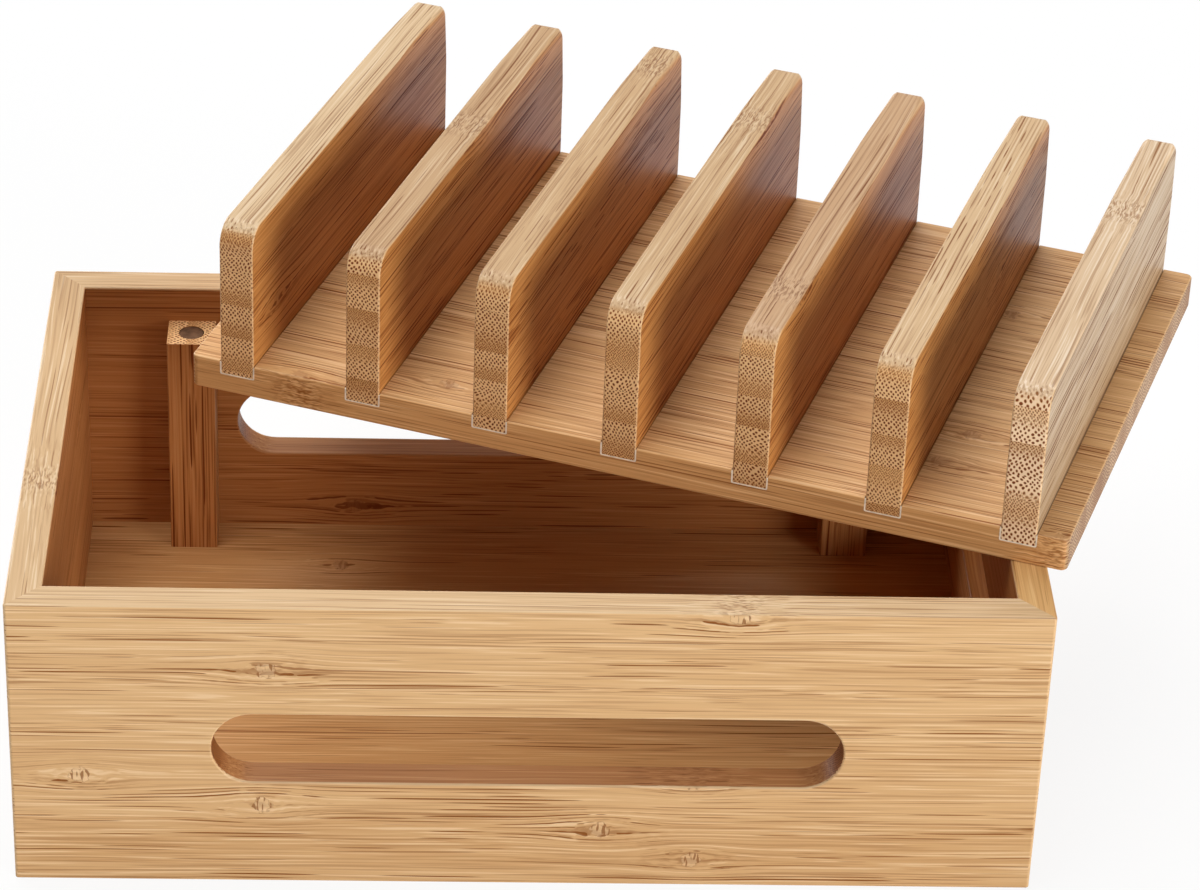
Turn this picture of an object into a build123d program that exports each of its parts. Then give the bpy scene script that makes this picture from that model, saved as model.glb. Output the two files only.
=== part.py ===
from build123d import *
import os

# Charging station organizer in laminated bamboo, all lengths in millimetres.
# An open box with mitred walls hides a power strip and its chargers.
# Four corner posts with magnets carry a lid with seven upright dividers,
# and phones and tablets stand in the gaps between the dividers.
# Origin at the centre of the box's footprint, +X right, +Y back, +Z up.
# The lid lies askew on the rim, as it is put down when the box is open.

# Box walls and bottom
box_length = 290.0
box_width = 182.0
box_height = 94.0
wall = 10.0
corner_radius = 1.0
wall_arris = 0.6
bottom_thickness = 8.0
rebate_depth = 5.0
bottom_play = 0.1

# Cable slots through the walls, with full round ends
slot_height = 23.5
slot_bottom = 34.5
slot_arris = 0.6
long_slot_length = 177.5
side_slot_length = 112.0

# Corner posts that carry the lid
post_width = 14.5
post_depth = 14.0
post_inset = 25.5
post_arris = 0.4
seat_depth = 11.5

# Magnets in the posts and in the underside of the lid
magnet_diameter = 7.5
magnet_thickness = 3.0
magnet_bevel = 0.3
magnet_play = 0.1

# Lid board
lid_thickness = 10.5
lid_end_clearance = 2.0
lid_side_clearance = 1.25
lid_corner_radius = 2.0
lid_arris = 0.6

# Dividers, let into dadoes across the top of the lid board
# Their back corners are eased more, and the easing runs out along the top and down the end:
# its slopes are how far it lifts off for each millimetre from the corner
divider_count = 7
divider_thickness = 10.5
divider_rise = 45.5
divider_corner_radius = 7.0
divider_arris = 0.6
back_corner_radius = 5.0
back_corner_ease = 3.0
back_corner_top_slope = 0.05
back_corner_end_slope = 0.1
dado_depth = 4.5
dado_play = 0.2
end_margin = 9.25

# Where the lid lies when it is off: turned about Z and moved from the centre
lid_turn = -20.5
lid_shift_x = 53.2
lid_shift_y = 53.2

# Worked out from the sizes above
inner_length = box_length - 2 * wall
inner_width = box_width - 2 * wall
lid_length = inner_length - 2 * lid_end_clearance
lid_width = inner_width - 2 * lid_side_clearance
post_top = box_height - seat_depth
post_x = inner_length / 2 - post_inset - post_width / 2
post_y = inner_width / 2 - post_depth / 2
divider_height = dado_depth + divider_rise
divider_pitch = (lid_length - 2 * end_margin - divider_thickness) / (divider_count - 1)
corners = {
    "front_left": (-post_x, -post_y),
    "front_right": (post_x, -post_y),
    "back_left": (-post_x, post_y),
    "back_right": (post_x, post_y),
}


def make_carcass():
    """All four walls in one, rounded outside, eased along the rim and rebated for the bottom."""
    plan = RectangleRounded(box_length, box_width, corner_radius) - Rectangle(inner_length, inner_width)
    carcass = fillet(extrude(plan, box_height).edges().group_by(Axis.Z)[-1], wall_arris)
    rebate = Rectangle(inner_length + 2 * rebate_depth, inner_width + 2 * rebate_depth)
    return carcass - extrude(rebate, bottom_thickness)


def mitred_wall(carcass, length, across):
    """The wall of the carcass that faces -Y, cut out along the 45 degree planes at its ends."""
    reach = 2 * wall
    wedge = Polygon(
        (-length / 2 - reach, -across / 2 - reach),
        (length / 2 + reach, -across / 2 - reach),
        (length / 2 - reach, -across / 2 + reach),
        (-length / 2 + reach, -across / 2 + reach),
        align=None,
    )
    return carcass & extrude(wedge, 2 * box_height, both=True)


def cut_slot(panel, across, slot_length):
    """A round-ended cable slot through a wall that faces -Y, its edges eased on both faces."""
    middle = slot_bottom + slot_height / 2
    shape = Plane.XZ.offset(across / 2) * Pos(0, middle) * SlotOverall(slot_length, slot_height)
    panel -= extrude(shape, 2 * wall, both=True)
    rims = panel.edges().filter_by_position(Axis.X, -slot_length / 2, slot_length / 2)
    rims = rims.filter_by_position(Axis.Z, slot_bottom, slot_bottom + slot_height)
    rims = rims.filter_by(lambda edge: edge.bounding_box().size.Y < wall / 2)
    return fillet(rims, slot_arris)


def make_walls():
    """Front, back, left and right walls; the left one has no cable slot."""
    carcass = make_carcass()
    long_wall = cut_slot(mitred_wall(carcass, box_length, box_width), box_width, long_slot_length)
    side = mitred_wall(Rot(0, 0, 90) * carcass, box_width, box_length)
    return {
        "front_panel": long_wall,
        "back_panel": Rot(0, 0, 180) * long_wall,
        "left_panel": Rot(0, 0, -90) * side,
        "right_panel": Rot(0, 0, 90) * cut_slot(side, box_length, side_slot_length),
    }


def make_bottom():
    """The bottom board, held in the rebate of all four walls and flush with their lower edges."""
    length = inner_length + 2 * (rebate_depth - bottom_play)
    width = inner_width + 2 * (rebate_depth - bottom_play)
    return Box(length, width, bottom_thickness, align=(Align.CENTER, Align.CENTER, Align.MIN))


def make_post():
    """A corner post standing on the bottom board, with a blind hole for its magnet on top."""
    height = post_top - bottom_thickness
    post = Box(post_width, post_depth, height, align=(Align.CENTER, Align.CENTER, Align.MIN))
    post = fillet(post.edges().filter_by(Axis.Z), post_arris)
    hole = Cylinder(
        magnet_diameter / 2 + magnet_play,
        magnet_thickness,
        align=(Align.CENTER, Align.CENTER, Align.MAX),
    )
    return Pos(0, 0, bottom_thickness) * (post - Pos(0, 0, height) * hole)


def make_magnet():
    """A disc magnet with its outer face at Z zero, facing up."""
    disc = Cylinder(
        magnet_diameter / 2,
        magnet_thickness,
        align=(Align.CENTER, Align.CENTER, Align.MAX),
    )
    return chamfer(disc.edges().group_by(Axis.Z)[-1], magnet_bevel)


def divider_places():
    """Centre of each divider along the lid board."""
    first = -divider_pitch * (divider_count - 1) / 2
    return [first + number * divider_pitch for number in range(divider_count)]


def make_lid_board():
    """The lid board, underside at Z zero, with dadoes on top and magnet holes below."""
    board = extrude(RectangleRounded(lid_length, lid_width, lid_corner_radius), lid_thickness)
    board = fillet(board.edges().group_by(Axis.Z)[-1] + board.edges().group_by(Axis.Z)[0], lid_arris)
    dado = Box(
        divider_thickness + 2 * dado_play,
        2 * lid_width,
        2 * dado_depth,
    )
    for place in divider_places():
        board -= Pos(place, 0, lid_thickness) * dado
    hole = Cylinder(
        magnet_diameter / 2 + magnet_play,
        magnet_thickness,
        align=(Align.CENTER, Align.CENTER, Align.MIN),
    )
    for x, y in corners.values():
        board -= Pos(x, y) * hole
    return board


def make_eased_corner():
    """A large block that is a divider's upper back corner, eased all round, and clears the rest of it."""
    back, top, reach = lid_width / 2, divider_height, 3 * lid_width
    profile = Polygon(
        (back, top),
        (back - reach, top + reach * back_corner_top_slope),
        (back - reach, top - reach),
        (back + reach * back_corner_end_slope, top - reach),
        align=None,
    )
    tip = profile.vertices().sort_by_distance((back, top, 0))[0]
    block = extrude(
        Plane.YZ.offset(-divider_thickness / 2) * fillet(tip, back_corner_radius),
        divider_thickness,
    )
    rims = block.faces().filter_by(Axis.X).edges()
    rims = rims.filter_by(lambda edge: edge.center().Y > back - 0.9 * reach and edge.center().Z > top - 0.9 * reach)
    return fillet(rims, back_corner_ease)


def make_divider():
    """One divider on edge, its foot at Z zero, with large round upper corners."""
    profile = Rectangle(lid_width, divider_height, align=(Align.CENTER, Align.MIN))
    for end, radius in ((-lid_width / 2, divider_corner_radius), (lid_width / 2, back_corner_radius)):
        corner = profile.vertices().sort_by_distance((end, divider_height, 0))[0]
        profile = fillet(corner, radius)
    blade = extrude(Plane.YZ.offset(-divider_thickness / 2) * profile, divider_thickness)
    sides = blade.faces().filter_by(Axis.X)
    return fillet(sides.edges(), divider_arris) & make_eased_corner()


def make_lid():
    """The lid board with its dividers and magnets, all placed as the lid lies on the rim."""
    rest = Pos(lid_shift_x, lid_shift_y, box_height) * Rot(0, 0, lid_turn)
    pieces = {"lid_board": rest * make_lid_board()}
    foot = lid_thickness - dado_depth
    for number, place in enumerate(divider_places(), start=1):
        pieces[f"divider_{number}"] = rest * Pos(place, 0, foot) * make_divider()
    facing_down = Rot(180, 0, 0) * make_magnet()
    for corner, (x, y) in corners.items():
        pieces[f"lid_magnet_{corner}"] = rest * Pos(x, y) * facing_down
    return pieces


def make_posts():
    """Four posts and the magnets let into their tops."""
    pieces = {}
    for corner, (x, y) in corners.items():
        pieces[f"post_{corner}"] = Pos(x, y) * make_post()
        pieces[f"post_magnet_{corner}"] = Pos(x, y, post_top) * make_magnet()
    return pieces


def main():
    os.makedirs("parts", exist_ok=True)
    pieces = make_walls()
    pieces["bottom_panel"] = make_bottom()
    pieces.update(make_posts())
    pieces.update(make_lid())
    for name, solid in pieces.items():
        export_step(solid, f"parts/{name}.step")


main()
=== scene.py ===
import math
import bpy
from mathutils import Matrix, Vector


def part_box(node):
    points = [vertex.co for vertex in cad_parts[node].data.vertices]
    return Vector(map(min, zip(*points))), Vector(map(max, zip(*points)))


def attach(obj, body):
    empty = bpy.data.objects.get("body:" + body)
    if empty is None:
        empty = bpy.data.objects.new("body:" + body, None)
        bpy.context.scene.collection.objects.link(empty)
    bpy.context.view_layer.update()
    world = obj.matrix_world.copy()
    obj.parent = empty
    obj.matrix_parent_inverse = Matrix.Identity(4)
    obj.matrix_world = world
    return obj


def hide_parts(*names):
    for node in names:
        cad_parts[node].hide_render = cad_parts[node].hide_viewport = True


bl_info = {
    "name": "Charging Organizer Looks",
    "version": (1, 0, 0),
    "blender": (4, 5, 0),
    "location": "View3D > Sidebar > Organizer",
    "description": "Bamboo finish, glue lines, magnets and a studio for a charging station organizer",
    "category": "Object",
}

import bmesh
import bpy
from bpy.props import FloatProperty, FloatVectorProperty, IntProperty, PointerProperty
from mathutils import Matrix, Vector

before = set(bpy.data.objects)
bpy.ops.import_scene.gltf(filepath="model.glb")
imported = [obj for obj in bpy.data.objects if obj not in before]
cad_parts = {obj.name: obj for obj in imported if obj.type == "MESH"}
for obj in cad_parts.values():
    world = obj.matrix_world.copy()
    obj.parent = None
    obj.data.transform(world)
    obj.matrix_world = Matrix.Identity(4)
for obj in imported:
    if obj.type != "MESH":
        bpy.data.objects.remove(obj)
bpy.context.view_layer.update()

MM = 0.001
SKIN = 0.8 * MM
CORNERS = ("front_left", "front_right", "back_left", "back_right")
MIDDLE = Vector((0.03, 0.03, 0.08))
LAMP_DISTANCE = 3.0

# How the bamboo is drawn, lengths in millimetres: a knuckle's reach along the grain and up the strips,
# its scar's, how far a board's band of dashes reaches, and how fast both fall off
SWING_LENGTH, SWING_HEIGHT = 14.0, 4.8
SCAR_LENGTH, SCAR_HEIGHT = 2.9, 2.7
BAND_REACH = 2.6
FALL_OFF = 0.3679

# Tints that deepen the dots on the end grain and the old glue, and painted shade on the round ends of the
# cable slots
DOT_TINT = (0.62, 0.37, 0.18)
SLOT_END_SHADE = (0.62, 0.58, 0.52)
DUST = 0.7
DIVIDERS = tuple(sorted(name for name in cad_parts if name.startswith("divider_")))


def node_box(name):
    """Lowest and highest corner of a CAD node at rest."""
    low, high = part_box(name)
    return Vector(low), Vector(high)


def node_middle(name):
    """Middle of a CAD node's box at rest."""
    low, high = node_box(name)
    return (low + high) / 2


def lid_place():
    """Centre of the lid board's underside and the lid's turn about Z, from its outermost dividers."""
    first, last = node_middle(DIVIDERS[0]), node_middle(DIVIDERS[-1])
    centre = (first + last) / 2
    centre.z = node_box("lid_board")[0].z
    across = last - first
    return centre, math.atan2(across.y, across.x)


LID_CENTRE, LID_TURN = lid_place()
LID_FRAME = Matrix.Translation(LID_CENTRE) @ Matrix.Rotation(LID_TURN, 4, "Z")


def lid_extent(name):
    """Lowest and highest corner of a node in the lid's own directions."""
    back = LID_FRAME.inverted()
    points = [back @ corner.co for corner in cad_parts[name].data.vertices]
    low = Vector([min(point[axis] for point in points) for axis in range(3)])
    high = Vector([max(point[axis] for point in points) for axis in range(3)])
    return low, high


class BambooLook(bpy.types.PropertyGroup):
    """Colours and sizes of the laminated bamboo."""

    pale: FloatVectorProperty(
        name="Pale wood",
        description="Soft tissue between the fibres",
        subtype="COLOR",
        size=3,
        min=0,
        max=1,
        default=(0.70, 0.44, 0.212),
    )
    tan: FloatVectorProperty(
        name="Tan wood",
        description="Slightly deeper tone that some strips have",
        subtype="COLOR",
        size=3,
        min=0,
        max=1,
        default=(0.60, 0.345, 0.148),
    )
    fibre: FloatVectorProperty(
        name="Fibre",
        description="Fibre bundles, seen as dashes along a strip and as dots on its end",
        subtype="COLOR",
        size=3,
        min=0,
        max=1,
        default=(0.235, 0.072, 0.008),
    )
    # Pale colour of fine hairs, rings, knuckle scars and specks, also used for a painted highlight along
    # the rounded edges and painted light on upward faces
    pale_and_highlight: FloatVectorProperty(
        name="Sanded edge",
        description="Bright line along the sanded edges",
        subtype="COLOR",
        size=3,
        min=0,
        max=1,
        default=(0.80, 0.56, 0.32),
    )
    # Painted light and shade: lightens or darkens the rim and the dividers' tops as light and sheen fall
    # on them
    painted_top_shading: FloatVectorProperty(
        name="Top tone",
        description="Tints the rim and the tops of the dividers, where the strips' edges are sanded",
        subtype="COLOR",
        size=3,
        min=0,
        max=2,
        default=(0.89, 0.95, 1.05),
    )
    # Painted shade on the walls' inner faces, the floor, the posts and the cable slots
    inside: FloatVectorProperty(
        name="Inside tone",
        description="Deepens the walls inside the box and in the cable slots",
        subtype="COLOR",
        size=3,
        min=0,
        max=1,
        default=(0.70, 0.46, 0.29),
    )
    # Painted shade on the dividers' sides, standing in for the shade their neighbours cast
    blade: FloatVectorProperty(
        name="Blade tone",
        description="Deepens the sides of the dividers",
        subtype="COLOR",
        size=3,
        min=0,
        max=1,
        default=(0.79, 0.55, 0.30),
    )
    strip: FloatProperty(
        name="Strip height",
        description="Mean height of one bamboo strip in a board",
        unit="LENGTH",
        min=0.004,
        max=0.04,
        default=0.015,
    )
    bundle: FloatProperty(
        name="Bundle spacing",
        description="Mean distance between fibre bundles",
        unit="LENGTH",
        min=0.0005,
        max=0.004,
        default=0.0011,
    )
    gloss: FloatProperty(
        name="Gloss",
        description="How much the oiled face reflects",
        subtype="FACTOR",
        min=0,
        max=1,
        default=0.22,
    )
    roughness: FloatProperty(
        name="Roughness",
        description="Roughness of the oiled face",
        subtype="FACTOR",
        min=0,
        max=1,
        default=0.42,
    )


class JointLook(bpy.types.PropertyGroup):
    """Glue that shows round the dividers' feet."""

    colour: FloatVectorProperty(
        name="Glue",
        description="Dried glue and wood dust in the dadoes",
        subtype="COLOR",
        size=3,
        min=0,
        max=1,
        default=(0.93, 0.80, 0.63),
    )
    width: FloatProperty(
        name="Line width",
        description="Width of the glue line",
        unit="LENGTH",
        min=0.0001,
        max=0.001,
        default=0.0004,
    )
    depth: FloatProperty(
        name="Depth",
        description="How far the glue reaches into the joint",
        unit="LENGTH",
        min=0.0002,
        max=0.002,
        default=0.0008,
    )
    proud: FloatProperty(
        name="Proud",
        description="How far the glue stands out of the board's edges",
        unit="LENGTH",
        min=0.0,
        max=0.0005,
        default=0.00005,
    )
    gap: FloatProperty(
        name="Gap",
        description="Space between a divider's side and its dado",
        unit="LENGTH",
        min=0.0,
        max=0.001,
        default=0.0002,
    )
    corner: FloatProperty(
        name="Corner",
        description="Radius of the glue line's lower corners, and how far it stops below the board's top",
        unit="LENGTH",
        min=0.0001,
        max=0.001,
        default=0.0005,
    )


class MagnetLook(bpy.types.PropertyGroup):
    """Disc magnets in the posts and the lid."""

    # Brown, a painted reflection of the wood round the magnet
    colour: FloatVectorProperty(
        name="Magnet",
        description="Dull plated face",
        subtype="COLOR",
        size=3,
        min=0,
        max=1,
        default=(0.15, 0.082, 0.046),
    )
    bevel: FloatProperty(
        name="Rim bevel",
        description="Rounded rim of the disc",
        unit="LENGTH",
        min=0.0001,
        max=0.001,
        default=0.0003,
    )
    dish: FloatProperty(
        name="Dish",
        description="How far the outer face is dished",
        unit="LENGTH",
        min=0.0,
        max=0.0005,
        default=0.00005,
    )
    sides: IntProperty(
        name="Sides",
        description="Facets round the disc",
        min=16,
        max=128,
        default=64,
    )


class StudioLook(bpy.types.PropertyGroup):
    """Camera, lamps and floor of the photograph."""

    camera_place: FloatVectorProperty(
        name="Camera",
        description="Where the camera stands",
        subtype="TRANSLATION",
        unit="LENGTH",
        size=3,
        default=(-0.03011, -1.07962, 0.77735),
    )
    camera_turn: FloatVectorProperty(
        name="Camera turn",
        description="The camera's Euler angles",
        subtype="EULER",
        size=3,
        default=(1.00454, -0.0333901, -0.0260796),
    )
    lens: FloatProperty(
        name="Lens",
        description="Focal length on a 36 mm wide sensor, in millimetres",
        min=10,
        max=500,
        default=131.23,
    )
    sky: FloatProperty(
        name="Sky",
        description="Strength of the even light from all round",
        min=0,
        max=3,
        default=0.03,
    )
    sheen: FloatProperty(
        name="Sky in gloss",
        description="How bright the sky is where a gloss shows it",
        min=0,
        max=3,
        default=0.8,
    )
    veil: FloatProperty(
        name="Floor white",
        description="How much of the floor near the organizer shows as plain white",
        subtype="FACTOR",
        min=0,
        max=1,
        default=0.88,
    )
    veil_start: FloatProperty(
        name="Shadow reach",
        description="Distance from the middle where the floor starts to turn all white",
        unit="LENGTH",
        min=0.1,
        max=5,
        default=0.3,
    )
    veil_end: FloatProperty(
        name="White from",
        description="Distance from the middle from where the floor is all white",
        unit="LENGTH",
        min=0.2,
        max=9,
        default=0.8,
    )
    overhead: FloatProperty(
        name="Overhead lamp",
        description="Power of the large soft lamp above",
        unit="POWER",
        min=0,
        max=500,
        default=55.0,
    )
    front: FloatProperty(
        name="Front lamp",
        description="Power of the low lamp at the front right",
        unit="POWER",
        min=0,
        max=500,
        default=82.0,
    )
    left: FloatProperty(
        name="Left lamp",
        description="Power of the low lamp at the back left",
        unit="POWER",
        min=0,
        max=500,
        default=54.0,
    )
    back: FloatProperty(
        name="Back lamp",
        description="Power of the high lamp behind",
        unit="POWER",
        min=0,
        max=500,
        default=47.0,
    )


class Wire:
    """A socket of one material's node tree. Arithmetic on it adds Math nodes."""

    def __init__(self, tree, socket):
        self.tree = tree
        self.socket = socket

    def node(self, kind, settings=None, values=None, output=0):
        """Adds a node of any type, sets it up, fills its sockets and returns one output."""
        made = self.tree.nodes.new(kind)
        for setting, value in (settings or {}).items():
            setattr(made, setting, value)
        for key, value in (values or {}).items():
            if isinstance(value, Wire):
                self.tree.links.new(value.socket, made.inputs[key])
            else:
                made.inputs[key].default_value = value
        return Wire(self.tree, made.outputs[output])

    def out(self, name):
        """Another output of the node that this socket belongs to."""
        return Wire(self.tree, self.socket.node.outputs[name])

    def math(self, operation, *values):
        return self.node("ShaderNodeMath", {"operation": operation}, dict(enumerate(values)))

    def __add__(self, other):
        return self.math("ADD", self, other)

    __radd__ = __add__

    def __sub__(self, other):
        return self.math("SUBTRACT", self, other)

    def __rsub__(self, other):
        return self.math("SUBTRACT", other, self)

    def __mul__(self, other):
        return self.math("MULTIPLY", self, other)

    __rmul__ = __mul__

    def __truediv__(self, other):
        return self.math("DIVIDE", self, other)

    def floor(self):
        return self.math("FLOOR", self)

    def size(self):
        return self.math("ABSOLUTE", self)

    def over(self, limit):
        return self.math("GREATER_THAN", self, limit)

    def under(self, limit):
        return self.math("LESS_THAN", self, limit)

    def clear(self, other):
        """Distance between two vectors, squared."""
        gap = self.node("ShaderNodeVectorMath", {"operation": "SUBTRACT"}, {0: self, 1: other})
        return gap.node("ShaderNodeVectorMath", {"operation": "DOT_PRODUCT"}, {0: gap, 1: gap}, "Value")

    def step(self, start, end):
        """Eases from 0 at start to 1 at end."""
        values = {"Value": self, "From Min": start, "From Max": end}
        return self.node("ShaderNodeMapRange", {"interpolation_type": "SMOOTHSTEP"}, values)

    def parts(self):
        """The three numbers of a vector or colour."""
        split = self.node("ShaderNodeSeparateXYZ", None, {0: self})
        return split, split.out("Y"), split.out("Z")

    def vector(self, x, y, z):
        return self.node("ShaderNodeCombineXYZ", None, {0: x, 1: y, 2: z})

    def noise(self, x, y, z, detail=1.0, output=0):
        """Smooth noise at a point, of mean 0.5; output 1 holds three of them."""
        values = {"Vector": self.vector(x, y, z), "Scale": 1.0, "Detail": detail}
        return self.node("ShaderNodeTexNoise", None, values, output)

    def luck(self, number):
        """Three random numbers that stay the same for one whole number."""
        values = {"W": number}
        return self.node("ShaderNodeTexWhiteNoise", {"noise_dimensions": "1D"}, values, 1).parts()

    def mix(self, other, share, blend="MIX"):
        """This colour with a share of another laid over it."""
        settings = {"data_type": "RGBA", "blend_type": blend, "clamp_result": False}
        values = {0: share, 6: self, 7: other}
        return self.node("ShaderNodeMix", settings, values, 2)


def new_material(name):
    """An empty material, its surface shader and a wire that starts at the object's coordinates."""
    material = bpy.data.materials.new(name)
    material.use_nodes = True
    tree = material.node_tree
    surface = next(node for node in tree.nodes if node.type == "BSDF_PRINCIPLED")
    coordinates = tree.nodes.new("ShaderNodeTexCoord")
    return material, surface, Wire(tree, coordinates.outputs["Object"])


def opaque(colour):
    return (*colour, 1.0)


def feed(surface, **wires):
    """Links finished values to the surface shader's sockets."""
    for name, wire in wires.items():
        wire.tree.links.new(wire.socket, surface.inputs[name.replace("_", " ")])


class Board:
    """How one board lies: its grain's direction, its strips and the knuckles of its culm.

    order names the axes along the grain, up the strips and through the board.
    seed, strip and tone set its strips' luck, height and depth of colour.
    crowd, bold, reach and spread set how many dashes it has, how dark, how long and how far apart,
    and bands names heights, in millimetres, where they gather.
    knuckles are places along and up the board, and scars how strongly they show.
    inside paints shade on its inner faces, blade paints shade on its sides and on divider 7 a paler
    painted sheen, crest paints light and shade on its top, and butt tints its ends, partly its end grain's
    tone and partly painted shading.
    gloss multiplies the look's gloss, and upside is the share of strips with their coarse side up.
    """

    def __init__(self, order, centre=(0, 0, 0), turn=0.0, **kept):
        self.order = order
        self.centre = centre
        self.turn = turn
        self.seed = kept.get("seed", 0.0)
        self.strip = kept.get("strip", 1.0)
        self.tone = kept.get("tone", 0.0)
        self.crowd = kept.get("crowd", 0.0)
        self.bold = kept.get("bold", 1.0)
        self.reach = kept.get("reach", 45.0)
        self.spread = kept.get("spread", 1.0)
        self.bands = kept.get("bands", ())
        self.knuckles = kept.get("knuckles", ())
        self.scars = kept.get("scars", 1.0)
        self.inside = kept.get("inside")
        self.blade = kept.get("blade")
        self.painted_top_shading = kept.get("painted_top_shading")
        self.end_tone_and_shading = kept.get("end_tone_and_shading", (1.0, 0.90, 0.77))
        self.gloss = kept.get("gloss", 1.0)
        self.upside = kept.get("upside", 0.5)

    def axes(self, here):
        """Millimetres along the grain, up the strips and through the board, at the shaded point."""
        turned = here.node(
            "ShaderNodeMapping",
            {"vector_type": "TEXTURE"},
            {"Vector": here, "Location": self.centre, "Rotation": (0, 0, self.turn)},
        )
        found = dict(zip("xyz", turned.parts()))
        return [found[letter] / MM for letter in self.order]

    def facing(self, here):
        """How squarely the surface faces along each of the same three directions, 0 to 1."""
        normal = here.out("Normal")
        turned = normal.node(
            "ShaderNodeMapping",
            {"vector_type": "NORMAL"},
            {"Vector": normal, "Rotation": (0, 0, -self.turn)},
        )
        found = dict(zip("xyz", turned.parts()))
        return [found[letter].size() for letter in self.order]


def knuckle_fields(board, along, up):
    """Where fibres swing round the board's knuckles, how far they are pushed, and the scars themselves."""
    swing, push, scar = along * 0.0, along * 0.0, along * 0.0
    wide = along.vector(along / SWING_LENGTH, up / SWING_HEIGHT, 0.0)
    ragged = along.noise(along / 1.6, up / 1.6, 0.0, 1.0) * 2.2
    tight = along.vector(along / SCAR_LENGTH, up / SCAR_HEIGHT, 0.0)
    for place, height in board.knuckles:
        apart = wide.clear((place / SWING_LENGTH, height / SWING_HEIGHT, 0.0))
        near = apart.math("POWER", FALL_OFF, apart)
        swing = swing + near
        push = push + near * (up - height)
        apart = tight.clear((place / SCAR_LENGTH, height / SCAR_HEIGHT, 0.0))
        scar = scar + (apart + ragged).step(2.2, 1.7)
    return swing, push, scar


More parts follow.
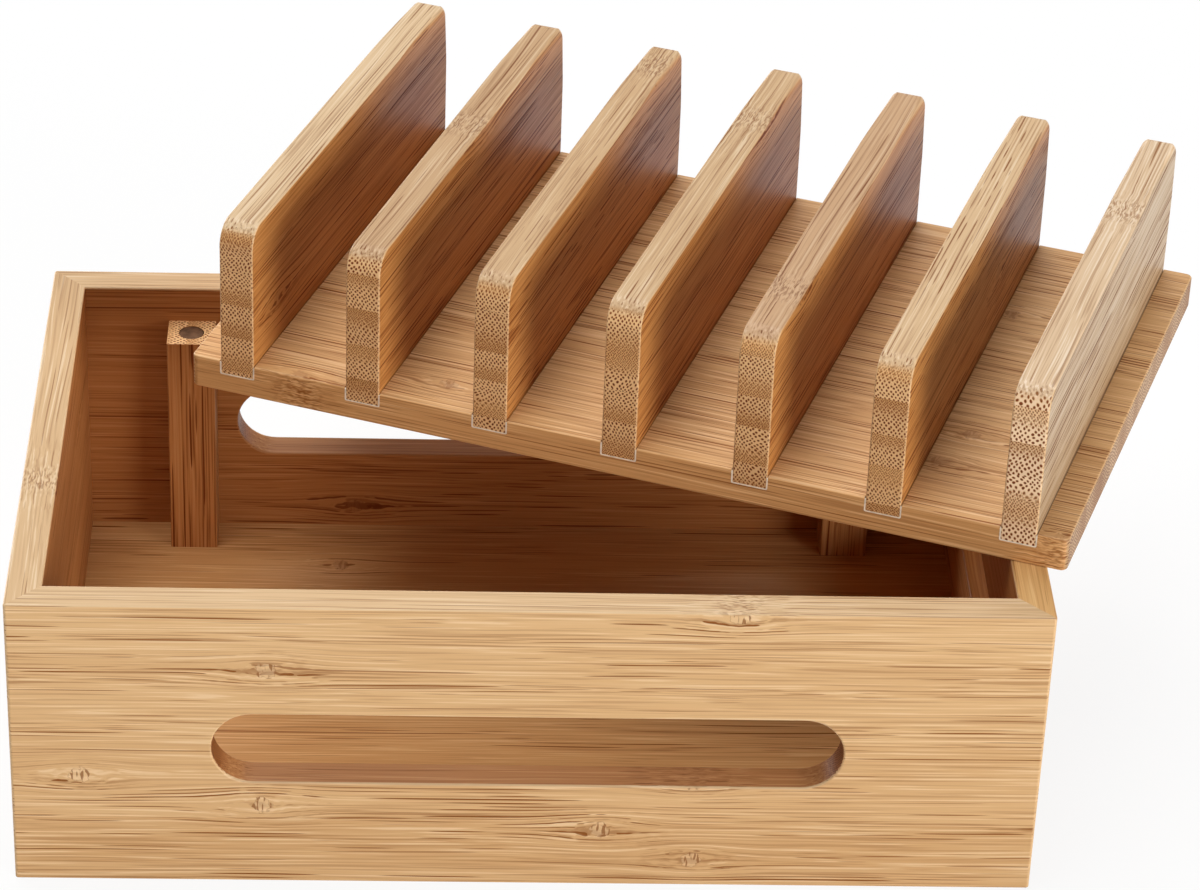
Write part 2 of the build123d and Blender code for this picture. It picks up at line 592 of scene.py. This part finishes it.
def bamboo_material(name, board, look):
    """Laminated bamboo as a solid: strips, bundles that run along them, and knuckles."""
    material, surface, here = new_material(name)
    along, up, through = board.axes(here)
    facing_end, facing_up, facing_side = board.facing(here)
    strip = look.strip / MM * board.strip
    spacing = look.bundle / MM * board.spread

    # Which strip, how far up it, and its own luck
    place = up / strip + board.seed
    place = place + (place.noise(place * 0.9, board.seed, 0.0, 0.0) - 0.5) * 0.5
    number = place.floor()
    height = place - number
    luck_a, luck_b, luck_c = number.luck(number + board.seed * 7.0)
    flip = luck_a.over(board.upside)
    coarse = 1.0 - (height + flip * (1.0 - height * 2.0))

    # Fibres drift a little along the strip, and swing round its knuckles
    swing, push, scar = knuckle_fields(board, along, up)
    drift = along.noise(along / 90.0 + number * 3.7, up / 8.0, through / 8.0, 1.0, 1)
    drift_up, drift_in, slow = drift.parts()
    wave_up, wave_in, blotch = along.noise(along / 5.0, up / 2.8, through / 2.8, 1.0, 1).parts()
    reach = 1.0 + luck_b * 2.2
    moved_up = up + (drift_up - 0.5) * reach + (wave_up - 0.5) * swing * 0.9 - push * 0.85
    moved_in = through + (drift_in - 0.5) * reach * 1.4 + (wave_in - 0.5) * swing * 1.4 + number * 5.7

    # Bundles stand in a slanting lattice
    rows, files = moved_up / (spacing * 1.3), moved_in / spacing
    cells = rows.node(
        "ShaderNodeTexVoronoi",
        {"voronoi_dimensions": "2D"},
        {"Vector": rows.vector(rows + files, rows - files, 0.0), "Scale": 1.0, "Randomness": 0.30},
    )
    strength, second, third = cells.out("Color").parts()
    end = facing_end.step(0.55, 0.95)

    # Dashes along the strip, most of them on its coarse side or in the board's own bands
    crowd = coarse.step(0.2, 1.0) * (0.6 - 0.35 * bool(board.bands)) + (slow - 0.5) * 1.3
    for band in board.bands:
        off = (up - band) / BAND_REACH
        crowd = crowd + off.math("POWER", FALL_OFF, off * off) * 0.7
    crowd = crowd + (0.40 + board.crowd) + swing * 0.75 + facing_up * 0.25
    seen = (crowd - second).step(-0.10, 0.20)
    dash = along.noise(along / board.reach + strength * 61.0, second * 47.0, third * 31.0, 1.0)
    dash = dash.step(0.36, 0.58)
    girth = dash * seen * (0.20 + strength * 0.13)
    dashes = (girth - cells).step(-0.02, 0.07) * (0.45 + strength * 0.55)
    hair = along.noise(along / 60.0, moved_up * 1.5, moved_in * 1.5, 4.0)
    hairs = hair.step(0.50, 0.66) * (0.35 + crowd.step(0.2, 1.2) * 0.65)
    light_hairs = hair.step(0.46, 0.34)

    # Dots on the end: large and dark on the coarse side, small and faint on the other
    grown = coarse.step(0.0, 0.65)
    small = cells.node(
        "ShaderNodeTexVoronoi",
        {"voronoi_dimensions": "2D"},
        {"Vector": rows.vector(rows + files, rows - files, 0.0), "Scale": 1.6, "Randomness": 0.35},
    )
    dots = (cells - strength * 0.06).step(0.30, 0.19) * grown
    specks = small.step(0.42, 0.26) * (1.0 - grown)
    rings = cells.step(0.32, 0.44) * end * grown

    # Wood of the strip
    deep = (luck_c - 0.5) * 0.8 + (slow - 0.5) * 0.5 + 0.4 + board.tone
    shades = {0: deep, 6: opaque(look.pale), 7: opaque(look.tan)}
    wood = deep.node("ShaderNodeMix", {"data_type": "RGBA"}, shades, 2)
    long_mark = (dashes * 0.9 + hairs * 0.50) * (1.0 - facing_up * 0.4) * board.bold
    end_mark = dots + specks * 0.8 + (luck_c - 0.5) * 0.25 + 0.04
    marked = end.node("ShaderNodeMix", None, {0: end, 2: long_mark, 3: end_mark})
    # Pale hairs and rings, and painted light on upward faces
    pale_marks_and_top_light = light_hairs * (1.0 - end) * 0.8 + rings + facing_up * (1.0 - end) * 0.15
    wood = wood.mix(opaque(look.pale_and_highlight), pale_marks_and_top_light)
    wood = wood.mix(opaque(look.fibre), marked)
    wood = wood.mix(opaque(DOT_TINT), (dots + specks * 0.6) * end, "MULTIPLY")
    wood = wood.mix(opaque(board.end_tone_and_shading), end, "MULTIPLY")

    # Knuckles: a bare scar with strokes across it, speckled where the strip's edge shows
    stroke = along.noise(along * 1.1, up / 4.0, through / 4.0, 1.0).step(0.50, 0.60)
    scar = scar * (1.0 - end) * (1.0 - facing_up)
    scar = scar * board.scars
    wood = wood.mix(opaque(look.pale_and_highlight), scar * 0.35)
    wood = wood.mix(opaque(look.fibre), scar * stroke * 0.8 + scar * (1.0 - scar) * 1.2)
    speck = along.noise(along / 2.4, (moved_up + moved_in) / 0.7, (moved_up - moved_in) / 0.7, 1.0)
    speckled = swing.step(0.6, 1.0) * facing_up * (1.0 - end) * (0.3 + blotch)
    wood = wood.mix(opaque(look.pale_and_highlight), speckled * speck.step(0.48, 0.36) * 0.7)
    wood = wood.mix(opaque(look.fibre), speckled * speck.step(0.50, 0.62) * 0.75)

    # Painted highlight along the rounded edges, painted light and shade on the tops, and painted shade
    # inside and on the sides
    arris = facing_side.step(0.12, 0.4) * facing_side.step(0.99, 0.86)
    # Painted highlight along the rounded edges
    wood = wood.mix(opaque(look.pale_and_highlight), arris * hair * 0.5)
    # Painted light and shade on the upward faces
    wood = wood.mix(opaque(board.painted_top_shading or look.painted_top_shading), facing_up.step(0.3, 0.9) * (1.0 - end), "MULTIPLY")
    if board.inside:
        # Painted shade on the inner faces; the posts keep it off their ends
        painted_inner_shade = inner_shade_mask(here) * (1.0 - end * (board.order == "zxy"))
        wood = wood.mix(opaque(board.inside), painted_inner_shade, "MULTIPLY")
        # More painted shade on the slots' round ends
        wood = wood.mix(opaque(SLOT_END_SHADE), painted_inner_shade * end, "MULTIPLY")
    if board.blade:
        # Painted shade on the sides, and on the lid board's top
        wood = wood.mix(opaque(board.blade), facing_side.step(0.8, 1.0), "MULTIPLY")

    relief = hair * 0.5 - marked
    bump = relief.node(
        "ShaderNodeBump",
        None,
        {"Strength": 0.25, "Distance": 0.05 * MM, "Height": relief},
    )
    rough = (hair - 0.5) * 0.2 + marked * 0.15 + look.roughness
    surface.inputs["Specular IOR Level"].default_value = look.gloss * board.gloss
    feed(surface, Base_Color=wood, Roughness=rough, Normal=bump)
    return material


def inner_shade_mask(here):
    """Where painted shade goes: one on the walls' inner faces and in their slots, zero on the outside, the
    rim and underneath.
    """
    low, high = node_box("front_panel")
    half_long = high.x - SKIN
    half_wide = -low.y - SKIN
    x, y, z = here.parts()
    between = z.under(high.z - SKIN) * z.over(low.z + SKIN)
    return x.size().under(half_long) * y.size().under(half_wide) * between


def dress(node, material):
    """Gives a CAD node one material."""
    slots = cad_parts[node].data.materials
    slots.clear()
    slots.append(material)


def finished_mesh(shape, name, material, body):
    """Makes an object of a bmesh, at the origin, that rides on a body."""
    bmesh.ops.recalc_face_normals(shape, faces=shape.faces)
    mesh = bpy.data.meshes.new(name)
    shape.to_mesh(mesh)
    shape.free()
    mesh.materials.append(material)
    piece = bpy.data.objects.new(name, mesh)
    bpy.context.scene.collection.objects.link(piece)
    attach(piece, body)
    return piece


# Where the boards' knuckles are, in millimetres along the grain and up the strips
FRONT_KNUCKLES = (
    (-73.5, 73.4),
    (-125.6, 36.5),
    (-74.7, 26.7),
    (21.0, 19.1),
    (47.1, 8.7),
    (57.3, 93.0),
    (47.3, 36.5),
)
BACK_KNUCKLES = ((-52.0, 15.5), (61.0, 71.0), (88.0, 24.0))
LEFT_KNUCKLES = ((-27.8, 93.0), (44.0, 68.0), (-39.0, 21.0))
RIGHT_KNUCKLES = ((33.0, 80.0), (-52.0, 22.0), (61.0, 41.0))
BOTTOM_KNUCKLES = ((-56.0, 58.0), (72.0, 31.0), (104.0, -47.0))
LID_KNUCKLES = (
    (-99.0, -79.0),
    (131.0, -79.0),
    (-57.0, -67.0),
    (93.0, -36.0),
    (87.0, 35.0),
    (88.0, -53.0),
)

# What sets each board apart; Board tells what the names mean
WALLS = {
    "front_panel": {
        "order": "xzy",
        "seed": 0.6,
        "bold": 1.15,
        "reach": 75.0,
        "spread": 0.85,
        "bands": (84.0, 68.5, 53.0, 23.0, 2.5),
        "knuckles": FRONT_KNUCKLES,
    },
    "back_panel": {"order": "xzy", "seed": 11.7, "tone": 0.1, "scars": 0.4, "knuckles": BACK_KNUCKLES},
    "left_panel": {"order": "yzx", "seed": 5.2, "knuckles": LEFT_KNUCKLES},
    # The right wall's rim gets painted shade
    "right_panel": {"order": "yzx", "seed": 8.45, "painted_top_shading": (0.90, 0.82, 0.64), "knuckles": RIGHT_KNUCKLES},
    "bottom_panel": {
        "order": "xyz",
        "seed": 2.6,
        "strip": 1.4,
        "crowd": -0.2,
        "scars": 0.4,
        # Painted shade on the box's floor, lighter than on the walls
        "inside": (0.92, 0.79, 0.64),
        "knuckles": BOTTOM_KNUCKLES,
    },
}
POST = {"order": "zxy", "strip": 0.6, "crowd": 0.5, "bold": 1.5, "spread": 1.2}
POST_SEED, POST_SEED_STEP = 20.3, 3.1
# The lid board gets painted shade on its top and on its front and back edges
LID_BOARD = {
    "order": "xyz",
    "seed": 1.9,
    "tone": 0.15,
    "crowd": 0.25,
    "bold": 1.25,
    "scars": 0.35,
    "end_tone_and_shading": (0.62, 0.55, 0.48),
    "painted_top_shading": (1.0, 0.86, 0.70),
    "blade": (1.0, 0.97, 0.93),
    "knuckles": LID_KNUCKLES,
}
DIVIDER = {
    "order": "yzx",
    "strip": 0.78,
    "crowd": 0.2,
    "upside": 0.15,
    "gloss": 1.3,
    "spread": 1.15,
    "scars": 0.2,
    "bold": 1.5,
}
DIVIDER_SEED_STEP = 4.37
# Each divider's top gets its own painted light and shade
EACH_DIVIDER = {
    "divider_1": {"knuckles": ((-61.0, 24.0),), "painted_top_shading": (0.86, 0.94, 1.08)},
    "divider_2": {"knuckles": ((5.9, 56.0),), "painted_top_shading": (0.73, 0.73, 0.76), "upside": 0.85},
    "divider_3": {"knuckles": ((64.1, 56.0),), "painted_top_shading": (0.78, 0.80, 0.84), "reach": 14.0, "crowd": 0.5},
    "divider_4": {"knuckles": ((41.8, 56.0),), "painted_top_shading": (0.80, 0.84, 0.91)},
    "divider_5": {"knuckles": ((-51.3, 56.0),), "painted_top_shading": (0.69, 0.65, 0.67)},
    "divider_6": {
        "knuckles": ((22.0, 31.0),),
        "painted_top_shading": (0.84, 0.89, 0.98),
        "upside": 0.85,
        "reach": 14.0,
        "crowd": 0.5,
    },
    # Divider 7: less painted shade on its sides, and a paler, bluer painted sheen on its sides, top and
    # ends
    "divider_7": {
        "knuckles": ((29.3, 56.0),),
        "painted_top_shading": (0.92, 1.05, 1.34),
        "upside": 0.85,
        "blade": (0.72, 0.81, 1.0),
        "spread": 1.45,
        "end_tone_and_shading": (1.15, 1.21, 1.38),
    },
}


class WallsOperator(bpy.types.Operator):
    """Gives the walls, the bottom and the posts their bamboo"""

    bl_idname = "organizer.walls"
    bl_label = "Finish walls and posts"

    def execute(self, context):
        look = context.scene.organizer_bamboo
        # Painted shade inside the box, for the walls and the posts
        deep = {"inside": tuple(look.inside)}
        boards = {node: Board(**{**deep, **kept}) for node, kept in WALLS.items()}
        for number, corner in enumerate(CORNERS):
            seed = POST_SEED + number * POST_SEED_STEP
            boards[f"post_{corner}"] = Board(seed=seed, **deep, **POST)
        for node, board in boards.items():
            dress(node, bamboo_material(f"bamboo_{node}", board, look))
        return {"FINISHED"}


class LidOperator(bpy.types.Operator):
    """Gives the lid board and its dividers their bamboo"""

    bl_idname = "organizer.lid"
    bl_label = "Finish lid and dividers"

    def execute(self, context):
        look = context.scene.organizer_bamboo
        place = {"centre": LID_CENTRE, "turn": LID_TURN}
        boards = {"lid_board": Board(**LID_BOARD, **place)}
        for number, node in enumerate(DIVIDERS, start=1):
            # Painted shade on the dividers' sides
            kept = {"seed": number * DIVIDER_SEED_STEP, "blade": tuple(look.blade), **DIVIDER}
            kept.update(EACH_DIVIDER.get(node, {}))
            boards[node] = Board(**kept, **place)
        for node, board in boards.items():
            dress(node, bamboo_material(f"bamboo_{node}", board, look))
        return {"FINISHED"}


def glue_material(look):
    """Pale dried glue with a little wood dust."""
    material, surface, here = new_material("dado_glue")
    x, y, z = here.parts()
    dust = x.noise(x / (2 * MM), y / (2 * MM), z / (2 * MM), 3.0)
    pale = dust.node(
        "ShaderNodeMix",
        {"data_type": "RGBA"},
        {0: dust.step(0.3, 0.8), 6: opaque(look.colour), 7: opaque([part * DUST for part in look.colour])},
        2,
    )
    feed(surface, Base_Color=pale, Roughness=dust * 0.2 + 0.45)
    return material


class GlueOperator(bpy.types.Operator):
    """Models the glue line round each divider's foot"""

    bl_idname = "organizer.glue"
    bl_label = "Model glue lines"

    def execute(self, context):
        look = context.scene.organizer_joint
        material = glue_material(look)
        board = lid_extent("lid_board")
        for node in DIVIDERS:
            shape = self.line(look, lid_extent(node), board)
            whole = shape.verts[:] + shape.edges[:] + shape.faces[:]
            bmesh.ops.mirror(shape, geom=whole, axis="Y", merge_dist=-1.0)
            bmesh.ops.transform(shape, matrix=LID_FRAME, verts=shape.verts)
            finished_mesh(shape, node.replace("divider", "dado_glue"), material, "lid")
        return {"FINISHED"}

    def line(self, look, foot, board):
        """One glue line at the board's front edge: down, across under the foot and up."""
        left, right = foot[0].x - look.gap, foot[1].x + look.gap
        bottom, top, front = foot[0].z, board[1].z, board[0].y - look.proud
        shape = bmesh.new()
        places = ((left, bottom), (right, bottom), (right, top + look.depth), (left, top + look.depth))
        ring = shape.faces.new([shape.verts.new((x, front, z)) for x, z in places])
        lower = [corner for corner in shape.verts if corner.co.z < top]
        bmesh.ops.bevel(
            shape, geom=lower, offset=look.corner, affect="VERTICES", segments=3, profile=0.5, material=-1
        )
        inner = shape.faces[:]
        bmesh.ops.inset_region(
            shape, faces=inner, thickness=look.width, use_boundary=True, use_even_offset=True
        )
        bmesh.ops.delete(shape, geom=inner, context="FACES")
        bmesh.ops.bisect_plane(
            shape,
            geom=shape.verts[:] + shape.edges[:] + shape.faces[:],
            plane_co=(0.0, front, top - look.corner),
            plane_no=(0.0, 0.0, 1.0),
            clear_outer=True,
        )
        made = bmesh.ops.extrude_face_region(shape, geom=shape.faces[:])
        moved = [item for item in made["geom"] if isinstance(item, bmesh.types.BMVert)]
        bmesh.ops.translate(shape, vec=(0.0, look.depth, 0.0), verts=moved)
        bmesh.ops.recalc_face_normals(shape, faces=shape.faces)
        return shape


def magnet_material(look):
    """Dull plated steel with fine scuffs, its brown a painted reflection of the wood round it."""
    material, surface, here = new_material("magnet_plating")
    x, y, z = here.parts()
    scuff = x.noise(x / (0.8 * MM), y / (0.25 * MM), z / (0.5 * MM), 3.0)
    tarnish = x.noise(x / (2.5 * MM), y / (2.5 * MM), z / (2.5 * MM), 2.0)
    dark = opaque([part * 0.7 for part in look.colour])
    light = opaque([part * 1.35 for part in look.colour])
    shade = scuff * 0.5 + tarnish * 0.5
    shades = {0: shade.step(0.35, 0.65), 6: dark, 7: light}
    metal = shade.node("ShaderNodeMix", {"data_type": "RGBA"}, shades, 2)
    surface.inputs["Metallic"].default_value = 0.9
    feed(surface, Base_Color=metal, Roughness=scuff * 0.3 + 0.38)
    return material


class MagnetOperator(bpy.types.Operator):
    """Models the disc magnets in the posts and in the lid"""

    bl_idname = "organizer.magnets"
    bl_label = "Model magnets"

    def execute(self, context):
        look = context.scene.organizer_magnet
        material = magnet_material(look)
        for corner in CORNERS:
            self.disc(look, material, f"post_magnet_{corner}", "box", 1)
            self.disc(look, material, f"lid_magnet_{corner}", "lid", -1)
        return {"FINISHED"}

    def disc(self, look, material, node, body, facing):
        """A disc with a rounded rim and a slightly dished face, in the place of a CAD magnet."""
        low, high = node_box(node)
        radius, thick = (high.x - low.x) / 2, high.z - low.z
        shape = bmesh.new()
        bmesh.ops.create_cone(
            shape, cap_ends=True, segments=look.sides, radius1=radius, radius2=radius, depth=thick
        )
        caps = [face for face in shape.faces if len(face.verts) > 4]
        rims = {edge for face in caps for edge in face.edges}
        bmesh.ops.bevel(
            shape, geom=list(rims), offset=look.bevel, affect="EDGES", segments=3, profile=0.5, material=-1
        )
        outer = [face for face in shape.faces if len(face.verts) > 4 and face.calc_center_median().z > 0]
        bmesh.ops.inset_region(shape, faces=outer, thickness=look.bevel, depth=-look.dish)
        for face in shape.faces:
            face.smooth = len(face.verts) == 4
        if facing < 0:
            bmesh.ops.rotate(shape, matrix=Matrix.Rotation(math.pi, 3, "X"), verts=shape.verts)
        bmesh.ops.translate(shape, vec=(low + high) / 2, verts=shape.verts)
        piece = finished_mesh(shape, node.replace("magnet", "magnet_disc"), material, body)
        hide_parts(node)


def white_floor(look):
    """White floor that keeps a soft shadow near the organizer."""
    material = bpy.data.materials.new("studio_floor")
    material.use_nodes = True
    tree = material.node_tree
    tree.nodes.clear()
    start = Wire(tree, tree.nodes.new("ShaderNodeLightPath").outputs["Is Camera Ray"])
    seen = start.math("MAXIMUM", start, start.out("Is Glossy Ray"))
    place = Wire(tree, tree.nodes.new("ShaderNodeTexCoord").outputs["Object"])
    away = place.node("ShaderNodeVectorMath", {"operation": "LENGTH"}, {0: place}, "Value")
    veil = away.step(look.veil_start, look.veil_end) * (1.0 - look.veil) + look.veil
    matt = start.node("ShaderNodeBsdfDiffuse", None, {"Color": (0.85, 0.85, 0.85, 1.0)})
    glow = start.node("ShaderNodeEmission", None, {"Color": (1.0, 1.0, 1.0, 1.0), "Strength": 1.0})
    floor = start.node("ShaderNodeMixShader", None, {0: seen * veil, 1: matt, 2: glow})
    output = tree.nodes.new("ShaderNodeOutputMaterial")
    tree.links.new(floor.socket, output.inputs["Surface"])
    return material


def white_sky(look):
    """Even light from all round; white where the camera sees it, and nearly so in a gloss."""
    world = bpy.data.worlds.new("studio_sky")
    world.use_nodes = True
    tree = world.node_tree
    start = Wire(tree, tree.nodes.new("ShaderNodeLightPath").outputs["Is Camera Ray"])
    gloss = start.out("Is Glossy Ray")
    background = next(node for node in tree.nodes if node.type == "BACKGROUND")
    background.inputs["Color"].default_value = (1.0, 1.0, 1.0, 1.0)
    strength = start * (1.0 - look.sky) + gloss * (look.sheen - look.sky) + look.sky
    tree.links.new(strength.socket, background.inputs["Strength"])
    return world


class StudioOperator(bpy.types.Operator):
    """Sets up the camera, the floor and the light"""

    bl_idname = "organizer.studio"
    bl_label = "Set up studio"

    def execute(self, context):
        look = context.scene.organizer_studio
        self.camera(context, look)
        self.floor(look)
        context.scene.world = white_sky(look)
        self.lamp("overhead_lamp", look.overhead, 290, 74, 2.4)
        self.lamp("front_lamp", look.front, 45, 10, 1.8)
        self.lamp("left_lamp", look.left, 225, 8, 1.4)
        self.lamp("back_lamp", look.back, 180, 60, 2.0)
        context.scene.view_settings.view_transform = "Standard"
        return {"FINISHED"}

    def camera(self, context, look):
        data = bpy.data.cameras.new("photo_camera")
        data.sensor_fit = "HORIZONTAL"
        data.sensor_width = 36.0
        data.lens = look.lens
        camera = bpy.data.objects.new("photo_camera", data)
        camera.location = look.camera_place
        camera.rotation_euler = look.camera_turn
        context.scene.collection.objects.link(camera)
        context.scene.camera = camera

    def floor(self, look):
        shape = bmesh.new()
        bmesh.ops.create_circle(shape, cap_ends=True, segments=96, radius=9.0)
        mesh = bpy.data.meshes.new("studio_floor")
        shape.to_mesh(mesh)
        shape.free()
        mesh.materials.append(white_floor(look))
        floor = bpy.data.objects.new("studio_floor", mesh)
        bpy.context.scene.collection.objects.link(floor)

    def lamp(self, name, power, azimuth, rise, size):
        """A round soft lamp 3 m away, turned to the middle; azimuth 0 is the front, 90 the right."""
        turn, tilt = math.radians(azimuth), math.radians(rise)
        away = Vector((math.sin(turn) * math.cos(tilt), -math.cos(turn) * math.cos(tilt), math.sin(tilt)))
        data = bpy.data.lights.new(name, "AREA")
        data.shape = "DISK"
        data.size = size
        data.energy = power
        lamp = bpy.data.objects.new(name, data)
        lamp.location = MIDDLE + away * LAMP_DISTANCE
        lamp.rotation_euler = away.to_track_quat("Z", "Y").to_euler()
        bpy.context.scene.collection.objects.link(lamp)


class OrganizerPanel(bpy.types.Panel):
    """Lists the organizer's steps"""

    bl_idname = "VIEW3D_PT_organizer"
    bl_label = "Charging Organizer"
    bl_space_type = "VIEW_3D"
    bl_region_type = "UI"
    bl_category = "Organizer"

    def draw(self, context):
        for operator in OPERATORS:
            self.layout.operator(operator.bl_idname)


LOOKS = {
    "organizer_bamboo": BambooLook,
    "organizer_joint": JointLook,
    "organizer_magnet": MagnetLook,
    "organizer_studio": StudioLook,
}
OPERATORS = (StudioOperator, WallsOperator, LidOperator, GlueOperator, MagnetOperator)


def register():
    for look in LOOKS.values():
        bpy.utils.register_class(look)
    for name, look in LOOKS.items():
        setattr(bpy.types.Scene, name, PointerProperty(type=look))
    for operator in OPERATORS:
        bpy.utils.register_class(operator)
    bpy.utils.register_class(OrganizerPanel)


def unregister():
    bpy.utils.unregister_class(OrganizerPanel)
    for operator in reversed(OPERATORS):
        bpy.utils.unregister_class(operator)
    for name, look in LOOKS.items():
        delattr(bpy.types.Scene, name)
        bpy.utils.unregister_class(look)


def main():
    register()
    bpy.ops.organizer.studio()
    bpy.ops.organizer.walls()
    bpy.ops.organizer.lid()
    bpy.ops.organizer.glue()
    bpy.ops.organizer.magnets()


if __name__ == "__main__":
    main()
